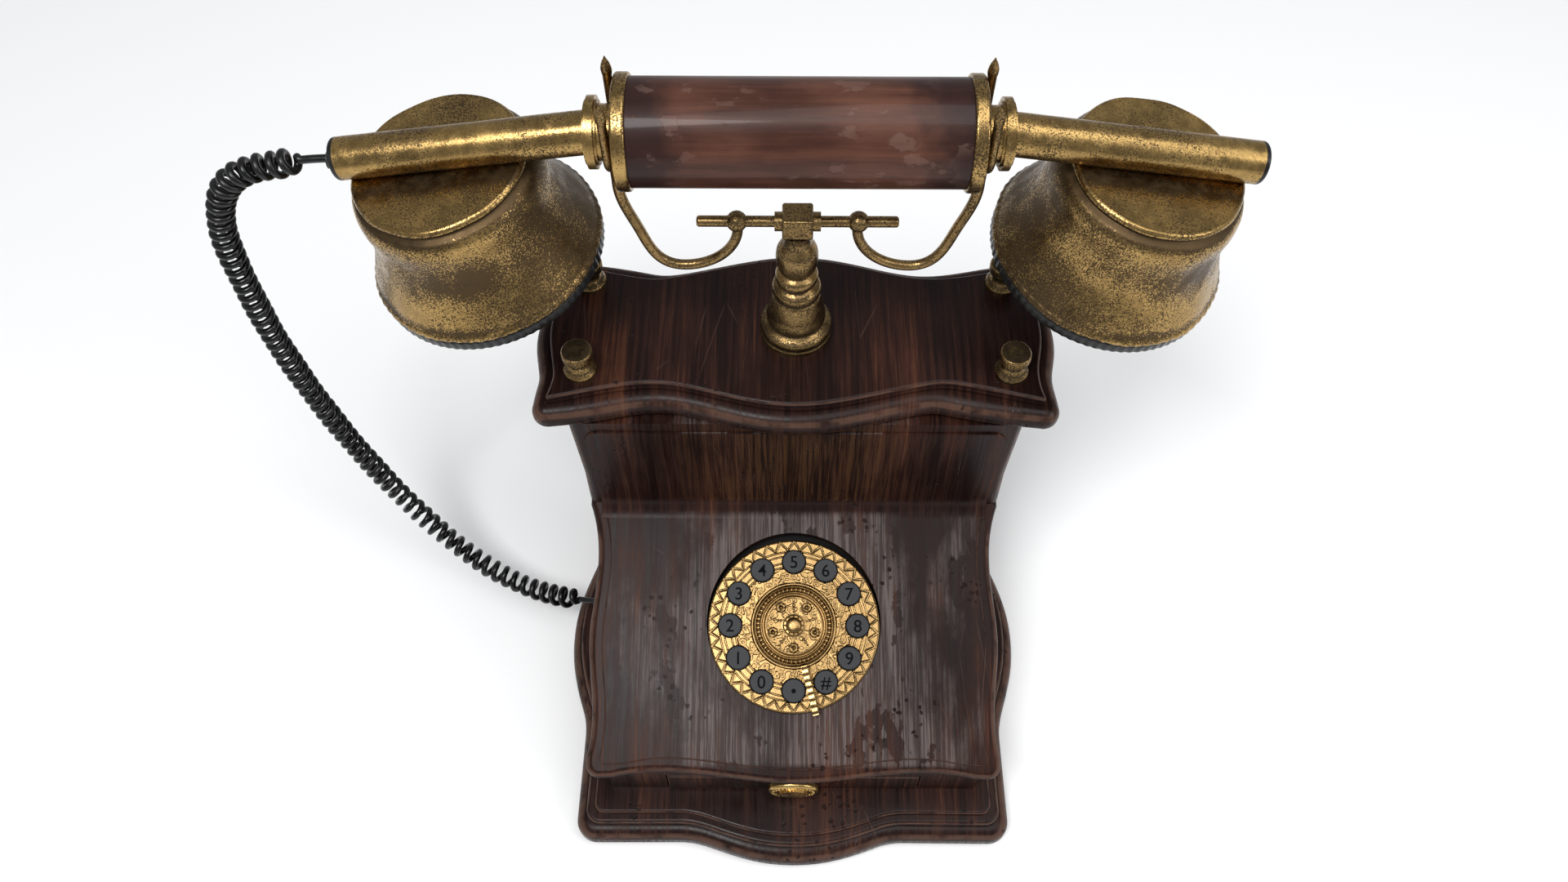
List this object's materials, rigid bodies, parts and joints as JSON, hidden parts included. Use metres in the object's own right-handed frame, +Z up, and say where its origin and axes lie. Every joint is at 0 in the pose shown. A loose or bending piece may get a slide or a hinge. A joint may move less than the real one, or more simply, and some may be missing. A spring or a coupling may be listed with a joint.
{
  "type": "desk telephone",
  "caption": "Antique-style wooden desk telephone with a brass cradle, a brass-cupped handset on a curly cord, a round push-button dial and a front drawer.",
  "frame": {"origin": "centre of the plinth on the surface it stands on", "axes": "+X to the right as seen from the front, +Y to the back, +Z up; the handset lies along X"},
  "size_m": [0.3304, 0.1928, 0.2604],
  "materials": {
    "mahogany": "glossy lacquer, worn at the edges",
    "grip_wood": "glossy lacquer, scuffed",
    "aged_brass": "aged, dark patina in the grooves",
    "bright_brass": "satin, engraved",
    "slate_button": "satin",
    "black_gloss": "gloss",
    "black_rubber": "matte",
    "black_cord": "gloss",
    "black_matte": "matte",
    "steel": "zinc-plated",
    "felt": "felt",
    "capsule_metal": "satin",
    "copper_coil": "enamelled wire",
    "circuit_green": "solder mask"
  },
  "bodies": {
    "base": {"back_board": "mahogany", "base_felt": "felt", "base_screws": "steel", "circuit_board": "circuit_green", "column": "aged_brass", "cord_coil": "black_cord", "cord_grommet": "black_rubber", "cord_lead_base": "black_cord", "corner_finials": "aged_brass", "dial_body": "black_matte", "dial_hub": "bright_brass", "dial_panel": "mahogany", "dial_plate": "bright_brass", "drawer_runners": "black_matte", "finger_stop": "bright_brass", "front_frame": "mahogany", "gongs": "aged_brass", "hook_bracket": "steel", "hook_spring": "steel", "hook_switch": "black_matte", "lid": "mahogany", "line_jack": "black_matte", "plinth": "mahogany", "ringer_coils": "copper_coil", "ringer_frame": "steel", "riser_board": "mahogany", "side_left": "mahogany", "side_right": "mahogany"},
    "cradle": {"head_block": "aged_brass", "cross_rod": "aged_brass", "rod_nuts": "aged_brass", "arm_left": "aged_brass", "arm_right": "aged_brass"},
    "handset": {"grip": "grip_wood", "ferrule_left": "aged_brass", "ferrule_right": "aged_brass", "tubes": "aged_brass", "end_caps": "black_gloss", "cup_left": "aged_brass", "cup_right": "aged_brass", "capsules": "capsule_metal", "ear_caps": "black_gloss", "cord_gland": "black_rubber", "cord_lead_handset": "black_cord"},
    "drawer": {"drawer_front": "mahogany", "drawer_tray": "mahogany", "drawer_knob": "bright_brass"},
    "clapper": {"clapper": "aged_brass"},
    "button_5": {"button_5": "slate_button"},
    "button_4": {"button_4": "slate_button"},
    "button_3": {"button_3": "slate_button"},
    "button_2": {"button_2": "slate_button"},
    "button_1": {"button_1": "slate_button"},
    "button_0": {"button_0": "slate_button"},
    "button_point": {"button_point": "slate_button"},
    "button_hash": {"button_hash": "slate_button"},
    "button_9": {"button_9": "slate_button"},
    "button_8": {"button_8": "slate_button"},
    "button_7": {"button_7": "slate_button"},
    "button_6": {"button_6": "slate_button"}
  },
  "joints": [
    {"name": "handset_lift", "type": "slide", "parent": "base", "child": "handset", "axis": [0, 0, 1], "range_m": [0, 0.06]},
    {"name": "cradle_rise", "type": "slide", "parent": "base", "child": "cradle", "axis": [0, 0, 1], "range_m": [0, 0.004], "deforming": ["hook_spring"]},
    {"name": "drawer_slide", "type": "slide", "parent": "base", "child": "drawer", "axis": [0, -1, 0], "range_m": [0, 0.04]},
    {"name": "clapper_swing", "type": "hinge", "parent": "base", "child": "clapper", "pos_m": [0, 0.06, 0.036], "axis": [0, 0, 1], "range_deg": [-14, 14]},
    {"name": "button_press_5", "type": "slide", "parent": "base", "child": "button_5", "axis": [0, 0.3437, -0.9391], "range_m": [0, 0.0012], "stiffness_N_per_m": 400, "springref_m": -0.0005},
    {"name": "button_press_4", "type": "slide", "parent": "base", "child": "button_4", "axis": [0, 0.3437, -0.9391], "range_m": [0, 0.0012], "stiffness_N_per_m": 400, "springref_m": -0.0005},
    {"name": "button_press_3", "type": "slide", "parent": "base", "child": "button_3", "axis": [0, 0.3437, -0.9391], "range_m": [0, 0.0012], "stiffness_N_per_m": 400, "springref_m": -0.0005},
    {"name": "button_press_2", "type": "slide", "parent": "base", "child": "button_2", "axis": [0, 0.3437, -0.9391], "range_m": [0, 0.0012], "stiffness_N_per_m": 400, "springref_m": -0.0005},
    {"name": "button_press_1", "type": "slide", "parent": "base", "child": "button_1", "axis": [0, 0.3437, -0.9391], "range_m": [0, 0.0012], "stiffness_N_per_m": 400, "springref_m": -0.0005},
    {"name": "button_press_0", "type": "slide", "parent": "base", "child": "button_0", "axis": [0, 0.3437, -0.9391], "range_m": [0, 0.0012], "stiffness_N_per_m": 400, "springref_m": -0.0005},
    {"name": "button_press_point", "type": "slide", "parent": "base", "child": "button_point", "axis": [0, 0.3437, -0.9391], "range_m": [0, 0.0012], "stiffness_N_per_m": 400, "springref_m": -0.0005},
    {"name": "button_press_hash", "type": "slide", "parent": "base", "child": "button_hash", "axis": [0, 0.3437, -0.9391], "range_m": [0, 0.0012], "stiffness_N_per_m": 400, "springref_m": -0.0005},
    {"name": "button_press_9", "type": "slide", "parent": "base", "child": "button_9", "axis": [0, 0.3437, -0.9391], "range_m": [0, 0.0012], "stiffness_N_per_m": 400, "springref_m": -0.0005},
    {"name": "button_press_8", "type": "slide", "parent": "base", "child": "button_8", "axis": [0, 0.3437, -0.9391], "range_m": [0, 0.0012], "stiffness_N_per_m": 400, "springref_m": -0.0005},
    {"name": "button_press_7", "type": "slide", "parent": "base", "child": "button_7", "axis": [0, 0.3437, -0.9391], "range_m": [0, 0.0012], "stiffness_N_per_m": 400, "springref_m": -0.0005},
    {"name": "button_press_6", "type": "slide", "parent": "base", "child": "button_6", "axis": [0, 0.3437, -0.9391], "range_m": [0, 0.0012], "stiffness_N_per_m": 400, "springref_m": -0.0005}
  ],
  "couplings": [
    {"joint": "cradle_rise", "follows": "handset_lift", "ratio": 0.0666}
  ]
}
